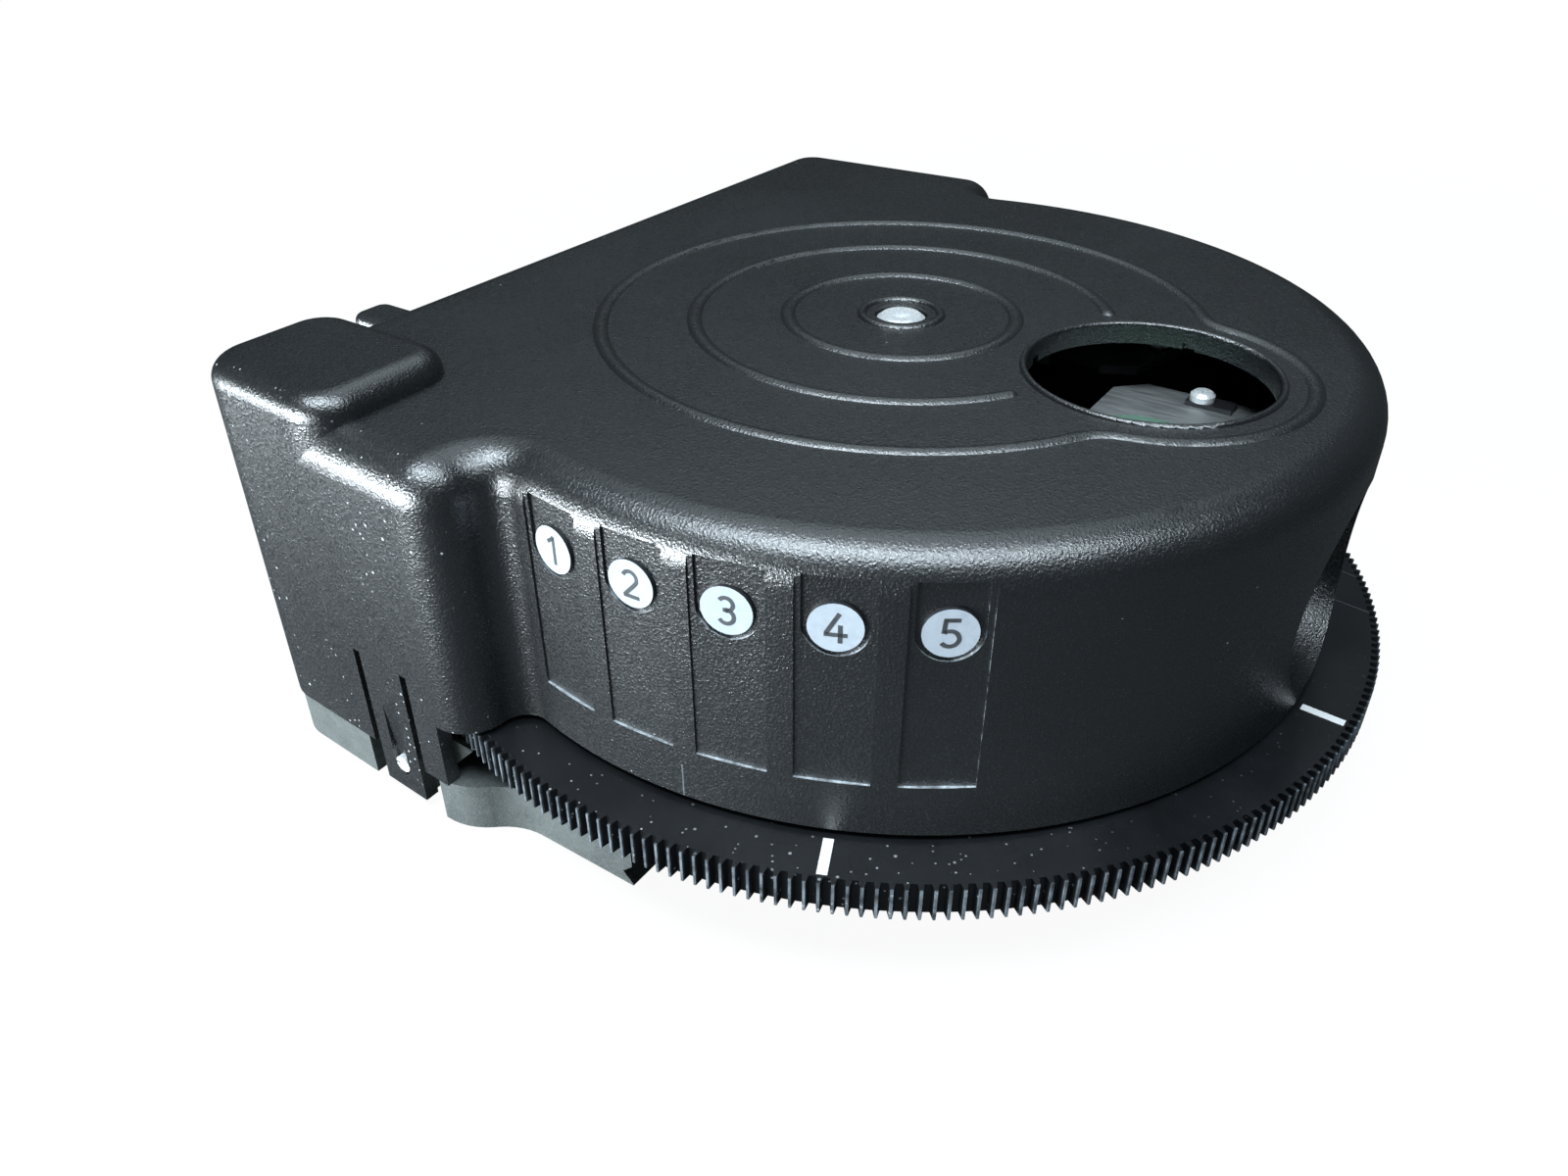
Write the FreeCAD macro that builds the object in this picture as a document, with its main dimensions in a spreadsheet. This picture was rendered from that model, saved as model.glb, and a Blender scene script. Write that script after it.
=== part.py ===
import FreeCAD, Part
import math
import os
import Sketcher

# Reflector turret of an upright microscope.
# Millimetres, +Z up. The origin is on the rotor axis, on the underside of the base plate.
# The light enters through the round port in the front wall, along +Y, and leaves downwards
# and upwards on the vertical axis through (0, -optical_radius).

SIZES = [
    ("base_height", 8.5, "height of the base plate"),
    ("base_disc_radius", 60.0, "round front part of the base plate"),
    ("base_rail_half", 78.0, "half width of the base plate's guide"),
    ("base_rail_front", 2.0, "distance of the guide's front end ahead of the rotor axis"),
    ("base_inset", 0.4, "how far the base plate stays inside the cover's outline"),
    ("base_step_rear", 27.5, "where the base plate starts to narrow"),
    ("base_step_front", 20.5, "where the base plate has narrowed"),
    ("base_step_radius", 11.0, "rounding of that step"),
    ("cover_top", 64.25, "height of the cover's flat top"),
    ("cover_radius", 75.65, "round front part of the cover"),
    ("cover_wall", 2.4, "thickness of the cover's side walls"),
    ("cover_roof", 3.0, "thickness of the cover's top"),
    ("skirt_height", 20.5, "lower edge of the cover over the toothed disc"),
    ("top_edge_radius", 6.0, "rounding of the cover's top edge"),
    ("box_front", 21.6, "front face of the cover's rectangular part"),
    ("box_rear", 73.3, "rear face of the cover"),
    ("box_half_front", 84.5, "half width of the rectangular part at its front"),
    ("box_half_rear", 81.6, "half width of the rectangular part at the rear"),
    ("box_corner_front", 6.6, "rounding of the front corners"),
    ("box_corner_rear", 8.0, "rounding of the rear corners"),
    ("box_blend", 4.0, "hollow rounding between the corners and the round wall"),
    ("window_rear", 29.3, "rear edge of the windows that let the disc out"),
    ("block_front", 42.8, "front face of the raised corner block"),
    ("block_inner", 57.0, "inner face of the raised corner block"),
    ("block_height", 4.0, "height of the corner block above the top"),
    ("block_corner", 6.5, "rounding of the block's upright corners"),
    ("block_edge", 3.5, "rounding of the block's top edge"),
    ("lug_place", 47.0, "distance of the rear lug from the middle"),
    ("lug_width", 7.5, "width of the rear lug"),
    ("lug_reach", 3.2, "how far the rear lug stands out"),
    ("lug_height", 14.0, "height of the rear lug"),
    ("port_radius", 18.34, "light port in the top"),
    ("port_rim", 0.55, "rim bead round the light port"),
    ("front_port_radius", 16.6, "light port in the front wall"),
    ("port_boss_radius", 19.0, "collar of the front light port"),
    ("port_boss_face", 69.5, "inner end of that collar"),
    ("bead_inner_radius", 18.78, "inner raised ring"),
    ("bead_middle_radius", 34.21, "middle raised ring"),
    ("bead_middle_gap", 67.5, "angle left open by the middle ring"),
    ("bead_outer_radius", 49.44, "outer raised ring"),
    ("bead_port_radius", 23.2, "outer ring where it runs round the port"),
    ("bead_blend", 8.0, "blend between those two"),
    ("bead_tube", 1.81, "radius of the rings' round section"),
    ("bead_rise", 0.5, "height of the rings above the top"),
    ("lip_radius", 6.5, "raised lip round the centre screw"),
    ("tongue_centre", 41.0, "middle of the side tongues"),
    ("tongue_width", 9.6, "width of the side tongues"),
    ("tongue_slot", 1.5, "slot on each side of a tongue"),
    ("tongue_top", 27.0, "upper end of those slots"),
    ("tongue_bottom", 1.5, "lower end of the tongues"),
    ("side_screw_height", 6.5, "height of the side screws"),
    ("side_screw_head", 1.5, "head radius of the side screws"),
    ("side_screw_shank", 1.0, "shank radius of the side screws"),
    ("label_angle", -156.1, "direction of number field 4"),
    ("label_pitch", 10.4, "angle between number fields"),
    ("label_width", 10.2, "width of a number field"),
    ("label_low", 29.0, "lower edge of the number fields"),
    ("label_high", 60.6, "upper edge of the number fields"),
    ("label_depth", 0.5, "depth of the number fields"),
    ("label_pocket", 8.6, "width of the deeper pocket in a field"),
    ("label_pocket_depth", 0.95, "depth of that pocket"),
    ("number_height", 53.5, "height of the number discs"),
    ("number_radius", 3.5, "radius of the number discs"),
    ("number_thickness", 0.6, "thickness of the number discs"),
    ("positions", 5, "number of reflector positions"),
    ("active_position", 4, "position that stands in the light path"),
    ("position_angle", 72.0, "angle between positions"),
    ("optical_radius", 42.6, "distance from the rotor axis to the light axis"),
    ("beam_height", 38.0, "height of the level light axis"),
    ("disc_radius", 84.6, "tip radius of the toothed disc"),
    ("disc_top", 19.5, "upper face of the toothed disc"),
    ("disc_thickness", 5.3, "thickness of the toothed disc"),
    ("teeth", 280, "number of teeth"),
    ("tooth_depth", 1.35, "depth of the teeth"),
    ("tooth_tip", 0.36, "width of a tooth at its tip"),
    ("tooth_root", 0.95, "width of a tooth at its root"),
    ("mark_inner", 76.4, "inner end of the index marks"),
    ("mark_length", 6.5, "length of the index marks"),
    ("mark_width", 1.5, "width of the index marks"),
    ("mark_depth", 0.3, "depth of the grooves for the index marks"),
    ("mark_proud", 0.05, "height of the index marks above the disc"),
    ("light_opening", 10.6, "radius of the openings in the disc"),
    ("base_opening", 12.0, "radius of the light opening in the base plate"),
    ("axle_radius", 6.0, "radius of the axle in the bearings"),
    ("axle_foot_radius", 8.0, "radius of the axle in the base plate"),
    ("axle_foot_depth", 5.5, "depth of the axle in the base plate"),
    ("axle_flange_radius", 14.0, "radius of the axle's flange"),
    ("axle_flange", 1.2, "thickness of the axle's flange"),
    ("fit_gap", 0.03, "radial clearance of fitted parts"),
    ("bearing_outer", 12.0, "outer radius of the bearings"),
    ("bearing_width", 6.0, "width of the bearings"),
    ("bearing_low", 11.2, "underside of the lower bearing"),
    ("bearing_high", 45.8, "underside of the upper bearing"),
    ("ball_radius", 1.5, "radius of the balls"),
    ("ball_circle", 9.0, "radius of the circle of balls"),
    ("ball_gap", 0.03, "clearance of a ball in its groove"),
    ("race_lip", 0.8, "distance from the ball circle to the races' lips"),
    ("balls", 8, "balls in each bearing"),
    ("hub_radius", 15.0, "outer radius of the hub's tube"),
    ("hub_shoulder", 10.6, "radius of the hub between the bearings"),
    ("hub_top", 52.2, "upper end of the hub"),
    ("flange_radius", 32.0, "radius of the hub's detent flange"),
    ("flange_low", 10.3, "underside of the detent flange"),
    ("notch_depth", 1.8, "depth of the detent notches"),
    ("hub_screw_circle", 23.5, "circle of the screws that hold the disc"),
    ("hub_screw_shank", 1.5, "shank radius of those screws"),
    ("hub_screw_head", 2.75, "head radius of those screws"),
    ("leaf_thickness", 0.5, "thickness of the detent leaf"),
    ("leaf_line", 34.0, "back of the detent leaf, measured from the rotor axis"),
    ("leaf_low", 10.5, "lower edge of the detent leaf"),
    ("leaf_height", 3.2, "height of the detent leaf"),
    ("leaf_gap", 0.25, "clearance of the leaf's nose in a notch"),
    ("module_inner", 31.8, "inner face of a reflector module"),
    ("module_outer", 61.5, "outer face of a reflector module"),
    ("module_width", 44.0, "width of a reflector module"),
    ("module_corner", 4.5, "cut corners of a module, towards the rotor axis"),
    ("module_top", 52.5, "top of a module's plate"),
    ("plate_thickness", 1.5, "thickness of a module's top plate"),
    ("bore_radius", 9.8, "light bores of a module"),
    ("filter_radius", 12.5, "radius of the filters"),
    ("emission_thickness", 2.2, "thickness of the emission filters"),
    ("excitation_thickness", 3.0, "thickness of the excitation filters"),
    ("ring_thickness", 1.5, "thickness of the retaining rings"),
    ("splitter_length", 28.0, "length of the beam splitters"),
    ("splitter_width", 24.4, "width of the beam splitters"),
    ("splitter_thickness", 1.0, "thickness of the beam splitters"),
    ("plate_screw_out", 3.6, "plate screws, outwards from the light axis"),
    ("plate_screw_side", 19.0, "plate screws, sideways from the light axis"),
    ("module_screw_side", 17.0, "screws under a module, sideways from the light axis"),
    ("module_screw_shank", 1.5, "shank radius of the screws under a module"),
    ("module_screw_head", 2.75, "head radius of the screws under a module"),
]

os.makedirs("parts", exist_ok=True)
doc = FreeCAD.newDocument("reflector_turret")
sheet = doc.addObject("Spreadsheet::Sheet", "Sizes")
for row, (alias, number, words) in enumerate(SIZES, start=1):
    sheet.set(f"A{row}", words)
    sheet.set(f"B{row}", str(number))
    sheet.setAlias(f"B{row}", alias)
doc.recompute()


class Size:
    """A number together with the sheet formula that gives it."""

    def __init__(self, number, formula):
        self.number = number
        self.formula = formula

    def __add__(self, other):
        other = as_size(other)
        return Size(self.number + other.number, f"({self.formula} + {other.formula})")

    def __sub__(self, other):
        other = as_size(other)
        return Size(self.number - other.number, f"({self.formula} - {other.formula})")

    def __mul__(self, other):
        other = as_size(other)
        return Size(self.number * other.number, f"({self.formula} * {other.formula})")

    def __truediv__(self, other):
        other = as_size(other)
        return Size(self.number / other.number, f"({self.formula} / {other.formula})")

    def __radd__(self, other):
        return as_size(other) + self

    def __rsub__(self, other):
        return as_size(other) - self

    def __rmul__(self, other):
        return as_size(other) * self

    def __rtruediv__(self, other):
        return as_size(other) / self

    def __neg__(self):
        return as_size(0) - self


def as_size(thing):
    return thing if isinstance(thing, Size) else Size(float(thing), f"{thing}")


def root(size):
    return Size(math.sqrt(size.number), f"sqrt({size.formula})")


def cosine(size):
    return Size(math.cos(math.radians(size.number)), f"cos({size.formula} * 1deg)")


def sine(size):
    return Size(math.sin(math.radians(size.number)), f"sin({size.formula} * 1deg)")


def arc_cosine(size):
    return Size(math.degrees(math.acos(size.number)), f"(acos({size.formula}) / 1deg)")


class Sheet:
    """Each alias of the sheet as an attribute."""


d = Sheet()
for alias, number, words in SIZES:
    setattr(d, alias, Size(float(number), f"Sizes.{alias}"))

nodes = {}


def node(name, thing):
    """Give a finished piece its name and keep it for export."""
    thing.Label = name
    nodes[name] = thing
    return thing


def bind(thing, prop, size):
    size = as_size(size)
    setattr(thing, prop, size.number)
    thing.setExpression(prop, size.formula)


def place(thing, x=0, y=0, z=0, axis=None, turn=0):
    """Put a primitive at x, y, z, turned by a fixed angle about an axis."""
    if axis:
        thing.Placement.Rotation = FreeCAD.Rotation(FreeCAD.Vector(*axis), turn)
    for letter, size in zip("xyz", (x, y, z)):
        thing.setExpression(f"Placement.Base.{letter}", as_size(size).formula)
    return thing


def turn_about_axis(thing, angle):
    """Turn a finished piece about the rotor axis."""
    angle = as_size(angle)
    thing.Placement = FreeCAD.Placement(
        FreeCAD.Vector(0, 0, 0), FreeCAD.Rotation(FreeCAD.Vector(0, 0, 1), angle.number)
    )
    thing.setExpression(
        "Placement",
        f"placement(vector(0; 0; 0); rotation(vector(0; 0; 1); {angle.formula}))",
    )
    return thing


# Part primitives and booleans

def cylinder(name, radius, height, x=0, y=0, z=0, axis=None, turn=0):
    thing = doc.addObject("Part::Cylinder", name)
    bind(thing, "Radius", radius)
    bind(thing, "Height", height)
    return place(thing, x, y, z, axis, turn)


def box(name, length, width, height, x=0, y=0, z=0, axis=None, turn=0):
    thing = doc.addObject("Part::Box", name)
    bind(thing, "Length", length)
    bind(thing, "Width", width)
    bind(thing, "Height", height)
    return place(thing, x, y, z, axis, turn)


def torus(name, circle, tube, x=0, y=0, z=0, sweep=360, start=0):
    """A torus about Z; start is the direction of its first end."""
    thing = doc.addObject("Part::Torus", name)
    bind(thing, "Radius1", circle)
    bind(thing, "Radius2", tube)
    bind(thing, "Angle3", sweep)
    start = as_size(start)
    x, y, z = (as_size(v) for v in (x, y, z))
    thing.setExpression(
        "Placement",
        f"placement(vector({x.formula}; {y.formula}; {z.formula}); "
        f"rotation(vector(0; 0; 1); {start.formula}))",
    )
    return thing


def fuse(name, things):
    thing = doc.addObject("Part::MultiFuse", name)
    thing.Shapes = things
    return thing


def cut(name, base, tool):
    thing = doc.addObject("Part::Cut", name)
    thing.Base = base
    thing.Tool = tool
    return thing


def common(name, base, tool):
    thing = doc.addObject("Part::Common", name)
    thing.Base = base
    thing.Tool = tool
    return thing


def group(name, things):
    """Separate solids that share one node."""
    thing = doc.addObject("Part::Compound", name)
    thing.Links = things
    return thing


# Bodies with sketches

def new_body(name):
    return doc.addObject("PartDesign::Body", name)


def new_sketch(body, name, plane="XY_Plane", height=None):
    sketch = body.newObject("Sketcher::SketchObject", name)
    for feature in body.Origin.OriginFeatures:
        if feature.Role == plane:
            sketch.AttachmentSupport = (feature, "")
    sketch.MapMode = "FlatFace"
    if height is not None:
        sketch.setExpression("AttachmentOffset.Base.z", as_size(height).formula)
    return sketch


def pin_point(sketch, geometry, end, x, y):
    """Hold a sketch point at x, y from the sketch origin."""
    for kind, size in (("DistanceX", as_size(x)), ("DistanceY", as_size(y))):
        if abs(size.number) < 1e-9:
            axis = -2 if kind == "DistanceX" else -1
            sketch.addConstraint(Sketcher.Constraint("PointOnObject", geometry, end, axis))
            continue
        if size.number > 0:
            order = (-1, 1, geometry, end)
        else:
            order = (geometry, end, -1, 1)
            size = -size
        index = sketch.addConstraint(Sketcher.Constraint(kind, *order, size.number))
        sketch.setExpression(f"Constraints[{index}]", size.formula)


def polygon(sketch, points):
    """A closed outline through points given as pairs of sizes."""
    points = [(as_size(x), as_size(y)) for x, y in points]
    spots = [FreeCAD.Vector(x.number, y.number, 0) for x, y in points]
    first = len(sketch.Geometry)
    count = len(points)
    for k in range(count):
        line = Part.LineSegment(spots[k], spots[(k + 1) % count])
        sketch.addGeometry(line, False)
    for k in range(count):
        after = first + (k + 1) % count
        sketch.addConstraint(Sketcher.Constraint("Coincident", first + k, 2, after, 1))
    for k, (x, y) in enumerate(points):
        pin_point(sketch, first + k, 1, x, y)


def circle(sketch, radius, x=0, y=0):
    x, y, radius = as_size(x), as_size(y), as_size(radius)
    middle = FreeCAD.Vector(x.number, y.number, 0)
    index = sketch.addGeometry(
        Part.Circle(middle, FreeCAD.Vector(0, 0, 1), radius.number), False
    )
    if abs(x.number) < 1e-9 and abs(y.number) < 1e-9:
        sketch.addConstraint(Sketcher.Constraint("Coincident", index, 3, -1, 1))
    else:
        pin_point(sketch, index, 3, x, y)
    rule = sketch.addConstraint(Sketcher.Constraint("Radius", index, radius.number))
    sketch.setExpression(f"Constraints[{rule}]", radius.formula)


def pad(body, name, sketch, length):
    feature = body.newObject("PartDesign::Pad", name)
    feature.Profile = sketch
    bind(feature, "Length", length)
    sketch.Visibility = False
    body.Tip = feature
    return feature


def pocket(body, name, sketch, length, up=True):
    """Remove the sketch's outline, upwards from the sketch or else downwards."""
    feature = body.newObject("PartDesign::Pocket", name)
    feature.Profile = sketch
    bind(feature, "Length", length)
    feature.Reversed = up
    sketch.Visibility = False
    body.Tip = feature
    return feature


def revolve(body, name, points):
    """A solid of revolution about Z from a profile of (radius, height) pairs."""
    sketch = new_sketch(body, f"{name}_profile", "XZ_Plane")
    polygon(sketch, points)
    feature = body.newObject("PartDesign::Revolution", name)
    feature.Profile = sketch
    feature.ReferenceAxis = (sketch, ["V_Axis"])
    feature.Angle = 360
    sketch.Visibility = False
    body.Tip = feature
    return feature


def polar(body, name, feature, sketch, count):
    pattern = body.newObject("PartDesign::PolarPattern", name)
    pattern.Originals = [feature]
    pattern.Axis = (sketch, ["N_Axis"])
    pattern.Angle = 360
    pattern.Occurrences = int(count.number)
    pattern.setExpression("Occurrences", count.formula)
    body.Tip = pattern
    return pattern


def round_edges(body, name, feature, radius, wanted):
    """Round the edges of a feature whose two ends satisfy a rule."""
    doc.recompute()
    chosen = []
    for number, edge in enumerate(feature.Shape.Edges, start=1):
        ends = [vertex.Point for vertex in edge.Vertexes]
        if wanted(ends[0], ends[-1]):
            chosen.append(f"Edge{number}")
    if not chosen:
        raise RuntimeError(f"{name} found no edge to round")
    rounding = body.newObject("PartDesign::Fillet", name)
    rounding.Base = (feature, chosen)
    bind(rounding, "Radius", radius)
    body.Tip = rounding
    doc.recompute()
    return rounding


def upright(low, high, inside):
    """Rule for upright edges whose place satisfies inside(x, y)."""
    def rule(a, b):
        same_place = math.hypot(a.x - b.x, a.y - b.y) < 1e-4
        return same_place and abs(a.z - b.z) > 0.5 and inside(a.x, a.y)
    return rule


def level_at(height):
    """Rule for edges that lie in one level plane."""
    def rule(a, b):
        return abs(a.z - height.number) < 1e-4 and abs(b.z - height.number) < 1e-4
    return rule


def half_width(y, inset=0):
    """Half width of the cover's rectangular part at a distance behind the rotor axis."""
    slope = (d.box_half_front - d.box_half_rear) / (d.box_rear - d.box_front)
    return d.box_half_front - slope * (y - d.box_front) - inset


# Cover

def cover_hull(name, inset, low, top, edge):
    """The cover's closed outline, moved inwards by inset, as a solid with a rounded top."""
    body = new_body(name)
    front, rear = d.box_front + inset, d.box_rear - inset
    disc = new_sketch(body, f"{name}_round", height=low)
    circle(disc, d.cover_radius - inset)
    pad(body, f"{name}_round_pad", disc, top - low)
    outline = new_sketch(body, f"{name}_box", height=low)
    polygon(outline, [
        (-half_width(front, inset), front),
        (half_width(front, inset), front),
        (half_width(rear, inset), rear),
        (-half_width(rear, inset), rear),
    ])
    pad(body, f"{name}_box_pad", outline, top - low)
    behind = new_sketch(body, f"{name}_behind", height=low - 1)
    polygon(behind, [(-70, rear), (70, rear), (70, rear + 30), (-70, rear + 30)])
    feature = pocket(body, f"{name}_rear_face", behind, top - low + 2)
    middle = (d.box_half_rear.number + d.cover_radius.number) / 2
    feature = round_edges(
        body, f"{name}_rear_corners", feature, d.box_corner_rear - inset,
        upright(low, top, lambda x, y: y > 50),
    )
    feature = round_edges(
        body, f"{name}_front_corners", feature, d.box_corner_front - inset,
        upright(low, top, lambda x, y: y < 50 and abs(x) > middle),
    )
    feature = round_edges(
        body, f"{name}_hollows", feature, d.box_blend + inset,
        upright(low, top, lambda x, y: y < 50 and 60 < abs(x) < middle),
    )
    round_edges(body, f"{name}_top_edge", feature, edge, level_at(top))
    return body


def corner_block():
    """Raised block on the left rear corner, with the cover's own outer faces."""
    body = new_body("corner_block")
    low = d.cover_top - d.top_edge_radius - 2
    outline = new_sketch(body, "block_outline", height=low)
    polygon(outline, [
        (-half_width(d.block_front), d.block_front),
        (-d.block_inner, d.block_front),
        (-d.block_inner, d.box_rear),
        (-half_width(d.box_rear), d.box_rear),
    ])
    high = d.cover_top + d.block_height
    feature = pad(body, "block_pad", outline, high - low)
    feature = round_edges(
        body, "block_rear_corner", feature, d.box_corner_rear,
        upright(low, high, lambda x, y: y > 60 and x < -70),
    )
    feature = round_edges(
        body, "block_corners", feature, d.block_corner,
        upright(low, high, lambda x, y: x > -62 or y < 60),
    )
    round_edges(body, "block_top", feature, d.block_edge, level_at(high))
    return body


def rear_lug():
    """Small rounded lug on the rear face, beside the corner block."""
    body = new_body("rear_lug")
    low = d.cover_top - d.lug_height
    outline = new_sketch(body, "lug_outline", height=low)
    left, right = -d.lug_place - d.lug_width / 2, -d.lug_place + d.lug_width / 2
    back, front = d.box_rear + d.lug_reach, d.box_rear - 8
    polygon(outline, [(left, front), (right, front), (right, back), (left, back)])
    high = d.cover_top - 0.1
    feature = pad(body, "lug_pad", outline, high - low)
    feature = round_edges(
        body, "lug_corners", feature, 2.2, upright(low, high, lambda x, y: y > 70),
    )
    round_edges(body, "lug_top", feature, 1.4, level_at(high))
    return body


def raised_rings():
    """The three raised rings, the rim of the light port and the lip round the screw."""
    tube = d.bead_tube
    z = d.cover_top + d.bead_rise - tube
    rim_z = d.cover_top
    outer, port, blend = d.bead_outer_radius, d.bead_port_radius, d.bead_blend
    reach = d.optical_radius
    long_side, short_side = outer + blend, port + blend
    # corner angle at the rotor axis, and at the port, of the triangle of the three centres
    at_axis = arc_cosine(
        (reach * reach + long_side * long_side - short_side * short_side)
        / (2 * reach * long_side)
    )
    at_port = arc_cosine(
        (reach * reach + short_side * short_side - long_side * long_side)
        / (2 * reach * short_side)
    )
    at_blend = 180 - at_axis - at_port
    pieces = [
        torus("ring_inner", d.bead_inner_radius, tube, z=z),
        torus("ring_middle", d.bead_middle_radius, tube, z=z,
              sweep=360 - d.bead_middle_gap, start=-90 + d.bead_middle_gap / 2),
        torus("ring_outer", outer, tube, z=z, sweep=360 - 2 * at_axis, start=-90 + at_axis),
        torus("ring_port", port, tube, y=-reach, z=z,
              sweep=2 * (180 - at_port), start=-90 - (180 - at_port)),
    ]
    for side, start in ((1, 90 + at_axis), (-1, 90 - at_axis - at_blend)):
        turn = -90 + side * at_axis
        pieces.append(torus(
            f"ring_blend_{'right' if side > 0 else 'left'}", blend, tube,
            x=long_side * cosine(turn), y=long_side * sine(turn), z=z,
            sweep=at_blend, start=start,
        ))
    for side in (1, -1):
        end = -90 + side * d.bead_middle_gap / 2
        knob = doc.addObject("Part::Sphere", f"ring_end_{'right' if side > 0 else 'left'}")
        bind(knob, "Radius", tube)
        place(knob, d.bead_middle_radius * cosine(end), d.bead_middle_radius * sine(end), z)
        pieces.append(knob)
    rings = fuse("rings_whole", pieces)
    slab = box("rings_slab", 160, 160, 2, -80, -80, d.cover_top - 0.9)
    clipped = common("rings_clipped", rings, slab)
    rim = torus("port_rim", d.port_radius + d.port_rim, d.port_rim, y=-reach, z=rim_z)
    lip = torus("screw_lip", d.lip_radius, 0.9, z=d.cover_top - 0.35)
    return [clipped, rim, lip]


def number_field(k):
    """Recess for one number on the round wall, with its deeper round-ended pocket."""
    angle = d.label_angle + (k - d.active_position) * d.label_pitch
    face = d.cover_radius
    tall = d.label_high - d.label_low
    field = box(f"field_{k}", 6, d.label_width, tall,
                face - d.label_depth, -d.label_width / 2, d.label_low)
    pocket_box = box(f"field_pocket_{k}", 6, d.label_pocket, d.label_high - d.number_height,
                     face - d.label_pocket_depth, -d.label_pocket / 2, d.number_height)
    pocket_end = cylinder(f"field_round_{k}", d.label_pocket / 2, 6,
                          face - d.label_pocket_depth, 0, d.number_height, (0, 1, 0), 90)
    return turn_about_axis(fuse(f"field_cut_{k}", [field, pocket_box, pocket_end]), angle)


def make_cover():
    low = d.tongue_bottom
    outer = cover_hull("cover_outside", as_size(0), low, d.cover_top, d.top_edge_radius)
    inner_top = d.cover_top - d.cover_roof
    inner = cover_hull("cover_inside", d.cover_wall, low - 1, inner_top,
                       d.top_edge_radius - d.cover_wall)
    raised = fuse("cover_raised", [outer, corner_block(), rear_lug()] + raised_rings())
    room = box("block_room", 17, 17, d.block_height + 1, -76.5, 51, inner_top - 1)
    hollow = fuse("cover_hollow", [inner, room])
    shell = cut("cover_shell", raised, hollow)

    # collar of the front light port, on the inside of the round wall
    collar = cylinder("port_collar", d.port_boss_radius, 8,
                      0, -d.port_boss_face, d.beam_height, (1, 0, 0), 90)
    round_wall = cylinder("collar_limit", d.cover_radius - 0.5, 60, z=d.skirt_height)
    collar_in = common("collar_in", collar, round_wall)
    whole = fuse("cover_whole", [shell, collar_in])

    far = 100
    half_tongue = d.tongue_width / 2
    front_slot = d.tongue_centre - half_tongue - d.tongue_slot
    rear_slot = d.tongue_centre + half_tongue
    deep = d.base_height - low + 2
    cuts = [
        box("skirt_cut", 2 * far, far + d.window_rear, d.skirt_height,
            -far, -far, 0),
        box("foot_cut_rear", 2 * far, far, deep, -far, rear_slot, low - 2),
        box("foot_cut_front", 2 * far, front_slot + d.tongue_slot - d.window_rear + 1, deep,
            -far, d.window_rear - 1, low - 2),
        box("foot_cut_middle", 150, far, deep, -75, 0, low - 2),
        cylinder("disc_slot", d.disc_radius + 1.6,
                 d.skirt_height - d.disc_top + d.disc_thickness + 1,
                 z=d.disc_top - d.disc_thickness - 1),
        cylinder("top_port", d.port_radius, 12, y=-d.optical_radius, z=d.cover_top - 8),
        cylinder("front_port", d.front_port_radius, 30,
                 0, -d.port_boss_face + 5, d.beam_height, (1, 0, 0), 90),
        cylinder("screw_recess", 4.4, 6, z=d.cover_top - 1.8),
        cylinder("screw_hole", 2.1, 12, z=d.cover_top - 8),
    ]
    for k in range(4):
        angle = math.radians(90 * k)
        cuts.append(box(
            f"port_notch_{k}", 2, 2, 1.2,
            (d.port_radius - 0.2) * math.cos(angle) - 1,
            (d.port_radius - 0.2) * math.sin(angle) - 1 - d.optical_radius,
            inner_top - 0.1,
        ))
    for side, word in ((-1, "left"), (1, "right")):
        wall = half_width(d.tongue_centre)
        for part, y in (("front", front_slot), ("rear", rear_slot)):
            cuts.append(box(f"tongue_slot_{part}_{word}", 12, d.tongue_slot, d.tongue_top - 3,
                            side * 80 - 6, y, 3))
        groove = box(f"tongue_groove_{word}", 3, 3.4, 16)
        groove.Placement.Rotation = FreeCAD.Rotation(FreeCAD.Vector(0, 1, 0), 4.5 * side)
        place(groove, side * (wall - 1.0) - (3 if side < 0 else 0),
              d.tongue_centre - 1.7, d.side_screw_height)
        cuts.append(groove)
        cuts.append(cylinder(f"tongue_seat_{word}", d.side_screw_head + 0.3, 6,
                             side * (wall - 1.0), d.tongue_centre, d.side_screw_height,
                             (0, 1, 0), 90 * side))
        cuts.append(cylinder(f"tongue_hole_{word}", d.side_screw_shank + 0.15, 8,
                             side * (wall - 6.0), d.tongue_centre, d.side_screw_height,
                             (0, 1, 0), 90 * side))
    for k in range(1, int(d.positions.number) + 1):
        cuts.append(number_field(k))
    node("cover", cut("cover", whole, fuse("cover_cuts", cuts)))


def make_number_discs():
    discs = []
    for k in range(1, int(d.positions.number) + 1):
        angle = d.label_angle + (k - d.active_position) * d.label_pitch
        disc = cylinder(f"number_disc_{k}", d.number_radius, d.number_thickness,
                        d.cover_radius - d.label_pocket_depth, 0, d.number_height,
                        (0, 1, 0), 90)
        discs.append(turn_about_axis(group(f"number_place_{k}", [disc]), angle))
    node("number_discs", group("number_discs", discs))


# Base plate

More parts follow.
